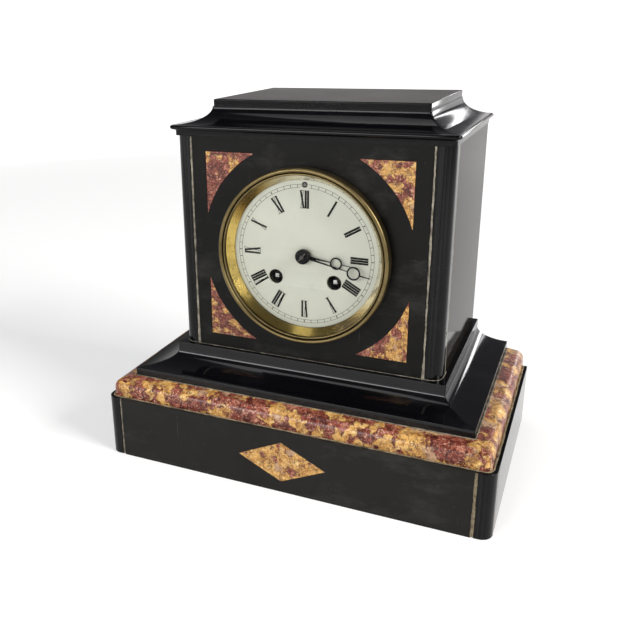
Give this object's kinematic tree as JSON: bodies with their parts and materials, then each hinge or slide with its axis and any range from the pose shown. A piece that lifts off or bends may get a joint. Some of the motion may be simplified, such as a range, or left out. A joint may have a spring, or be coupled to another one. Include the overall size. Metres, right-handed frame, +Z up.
{
  "type": "table clock",
  "caption": "Rectangular black slate table clock with red marble inlays and band, a hinged round bezel over an enamel dial, and a spring-driven striking movement with pendulum.",
  "frame": {"origin": "middle of the footprint, on the surface it stands on", "axes": "+X to the right seen from the dial side, +Y from the dial to the back, +Z up"},
  "size_m": [0.252, 0.153, 0.2316],
  "materials": {
    "satin_slate": "satin, scuffed",
    "polished_slate": "polished",
    "red_marble": "polished, veined",
    "aged_brass": "aged gilding",
    "bright_gilt": "bright gilding",
    "movement_brass": "brushed",
    "white_enamel": "fired enamel on copper",
    "clear_glass": "clear",
    "black_steel": "blackened",
    "bright_steel": "polished",
    "bell_metal": "bright"
  },
  "bodies": {
    "case": {"plinth_front_panel": "satin_slate", "plinth_diamond_inlay": "red_marble", "plinth_corner_right": "polished_slate", "plinth_corner_left": "polished_slate", "plinth_right_panel": "polished_slate", "plinth_left_panel": "polished_slate", "plinth_back_panel": "satin_slate", "marble_band_front": "red_marble", "marble_band_left": "red_marble", "marble_band_right": "red_marble", "base_moulding_front": "polished_slate", "base_moulding_left": "polished_slate", "base_moulding_right": "polished_slate", "spandrel_top_left": "red_marble", "spandrel_top_right": "red_marble", "spandrel_bottom_left": "red_marble", "spandrel_bottom_right": "red_marble", "body_front_panel": "satin_slate", "body_corner_right": "polished_slate", "body_corner_left": "polished_slate", "body_right_panel": "polished_slate", "body_left_panel": "polished_slate", "body_back_panel": "satin_slate", "cornice_slab": "polished_slate", "cap_block": "polished_slate", "dial_ring": "aged_brass", "dial": "white_enamel", "bezel_hinge_pin": "bright_steel", "back_ring": "aged_brass", "front_plate": "movement_brass", "back_plate": "movement_brass", "bell": "bell_metal"},
    "bezel_door": {"bezel": "aged_brass", "bezel_glass": "clear_glass", "sight_ring": "bright_gilt"},
    "minute_hand": {"minute_hand": "black_steel", "cannon_pinion": "bright_steel"},
    "minute_wheel": {"minute_wheel": "movement_brass"},
    "hour_hand": {"hour_hand": "black_steel", "hour_wheel": "movement_brass"},
    "third_wheel": {"third_wheel": "movement_brass"},
    "centre_wheel": {"centre_wheel": "movement_brass"},
    "intermediate_wheel": {"intermediate_wheel": "movement_brass"},
    "going_barrel": {"going_barrel": "movement_brass", "going_mainspring": "bright_steel"},
    "escape_wheel": {"escape_wheel": "movement_brass"},
    "pendulum": {"pendulum_rod": "bright_steel", "pendulum_bob": "movement_brass"},
    "pallet_anchor": {"pallet_anchor": "bright_steel"},
    "going_winding_arbor": {"going_winding_arbor": "bright_steel"},
    "strike_winding_arbor": {"strike_winding_arbor": "bright_steel"},
    "regulator_arbor": {"regulator_arbor": "bright_steel"},
    "strike_warning_wheel": {"strike_warning_wheel": "movement_brass"},
    "strike_fly": {"strike_fly": "movement_brass"},
    "strike_pin_wheel": {"strike_pin_wheel": "movement_brass"},
    "strike_second_wheel": {"strike_second_wheel": "movement_brass"},
    "strike_barrel": {"strike_barrel": "movement_brass", "strike_mainspring": "bright_steel"},
    "hammer": {"hammer": "bright_steel"},
    "back_cover": {"back_cover": "movement_brass"}
  },
  "joints": [
    {"name": "bezel_hinge", "type": "hinge", "parent": "case", "child": "bezel_door", "pos_m": [-0.0537, -0.0392, 0.142], "axis": [0, 0, -1], "range_deg": [0, 110]},
    {"name": "minute_hand_turn", "type": "hinge", "parent": "case", "child": "minute_hand", "pos_m": [0, -0.0365, 0.142], "axis": [0, 1, 0], "continuous": true},
    {"name": "minute_wheel_turn", "type": "hinge", "parent": "case", "child": "minute_wheel", "pos_m": [0, -0.0365, 0.1564], "axis": [0, 1, 0], "continuous": true},
    {"name": "hour_hand_turn", "type": "hinge", "parent": "case", "child": "hour_hand", "pos_m": [0, -0.0365, 0.142], "axis": [0, 1, 0], "continuous": true},
    {"name": "third_wheel_turn", "type": "hinge", "parent": "case", "child": "third_wheel", "pos_m": [-0.00441, -0.0365, 0.15432], "axis": [0, 1, 0], "continuous": true},
    {"name": "centre_wheel_turn", "type": "hinge", "parent": "case", "child": "centre_wheel", "pos_m": [0, -0.0365, 0.142], "axis": [0, 1, 0], "continuous": true},
    {"name": "intermediate_wheel_turn", "type": "hinge", "parent": "case", "child": "intermediate_wheel", "pos_m": [0.0137, -0.0365, 0.14446], "axis": [0, 1, 0], "continuous": true},
    {"name": "going_barrel_turn", "type": "hinge", "parent": "case", "child": "going_barrel", "pos_m": [0.019, -0.0365, 0.1265], "axis": [0, 1, 0], "continuous": true},
    {"name": "escape_wheel_turn", "type": "hinge", "parent": "case", "child": "escape_wheel", "pos_m": [0, -0.0365, 0.165], "axis": [0, 1, 0], "continuous": true},
    {"name": "pendulum_swing", "type": "hinge", "parent": "case", "child": "pendulum", "pos_m": [0, 0.0205, 0.1795], "axis": [0, 1, 0], "range_deg": [-3.5, 3.5]},
    {"name": "pallet_anchor_swing", "type": "hinge", "parent": "case", "child": "pallet_anchor", "pos_m": [0, -0.0365, 0.1795], "axis": [0, 1, 0], "range_deg": [-3.5, 3.5]},
    {"name": "going_winding", "type": "hinge", "parent": "case", "child": "going_winding_arbor", "pos_m": [0.019, -0.0365, 0.1265], "axis": [0, 1, 0], "range_deg": [0, 2700]},
    {"name": "strike_winding", "type": "hinge", "parent": "case", "child": "strike_winding_arbor", "pos_m": [-0.019, -0.0365, 0.1265], "axis": [0, 1, 0], "range_deg": [0, 2700]},
    {"name": "regulator_turn", "type": "hinge", "parent": "case", "child": "regulator_arbor", "pos_m": [0, -0.0365, 0.1852], "axis": [0, 1, 0], "range_deg": [-360, 360]},
    {"name": "strike_warning_wheel_turn", "type": "hinge", "parent": "case", "child": "strike_warning_wheel", "pos_m": [-0.01646, -0.0365, 0.1609], "axis": [0, 1, 0], "continuous": true},
    {"name": "strike_fly_turn", "type": "hinge", "parent": "case", "child": "strike_fly", "pos_m": [-0.01279, -0.0365, 0.16727], "axis": [0, 1, 0], "continuous": true},
    {"name": "strike_pin_wheel_turn", "type": "hinge", "parent": "case", "child": "strike_pin_wheel", "pos_m": [-0.02488, -0.0365, 0.15784], "axis": [0, 1, 0], "continuous": true},
    {"name": "strike_second_wheel_turn", "type": "hinge", "parent": "case", "child": "strike_second_wheel", "pos_m": [-0.019, -0.0365, 0.14522], "axis": [0, 1, 0], "continuous": true},
    {"name": "strike_barrel_turn", "type": "hinge", "parent": "case", "child": "strike_barrel", "pos_m": [-0.019, -0.0365, 0.1265], "axis": [0, 1, 0], "continuous": true},
    {"name": "hammer_lift", "type": "hinge", "parent": "case", "child": "hammer", "pos_m": [-0.0335, -0.0365, 0.1475], "axis": [0, 1, 0], "range_deg": [0, 12]},
    {"name": "back_cover_pull", "type": "slide", "parent": "case", "child": "back_cover", "axis": [0, 1, 0], "range_m": [0, 0.06]}
  ],
  "couplings": [
    {"joint": "minute_wheel_turn", "follows": "minute_hand_turn", "ratio": -0.33333},
    {"joint": "hour_hand_turn", "follows": "minute_hand_turn", "ratio": 0.083333},
    {"joint": "escape_wheel_turn", "follows": "third_wheel_turn", "ratio": -10},
    {"joint": "centre_wheel_turn", "follows": "third_wheel_turn", "ratio": -0.1},
    {"joint": "intermediate_wheel_turn", "follows": "third_wheel_turn", "ratio": 0.02},
    {"joint": "going_barrel_turn", "follows": "third_wheel_turn", "ratio": -0.004},
    {"joint": "pallet_anchor_swing", "follows": "pendulum_swing", "ratio": 1},
    {"joint": "strike_fly_turn", "follows": "strike_warning_wheel_turn", "ratio": -6},
    {"joint": "strike_pin_wheel_turn", "follows": "strike_warning_wheel_turn", "ratio": -0.16667},
    {"joint": "strike_second_wheel_turn", "follows": "strike_warning_wheel_turn", "ratio": 0.033333},
    {"joint": "strike_barrel_turn", "follows": "strike_warning_wheel_turn", "ratio": -0.0066667}
  ]
}
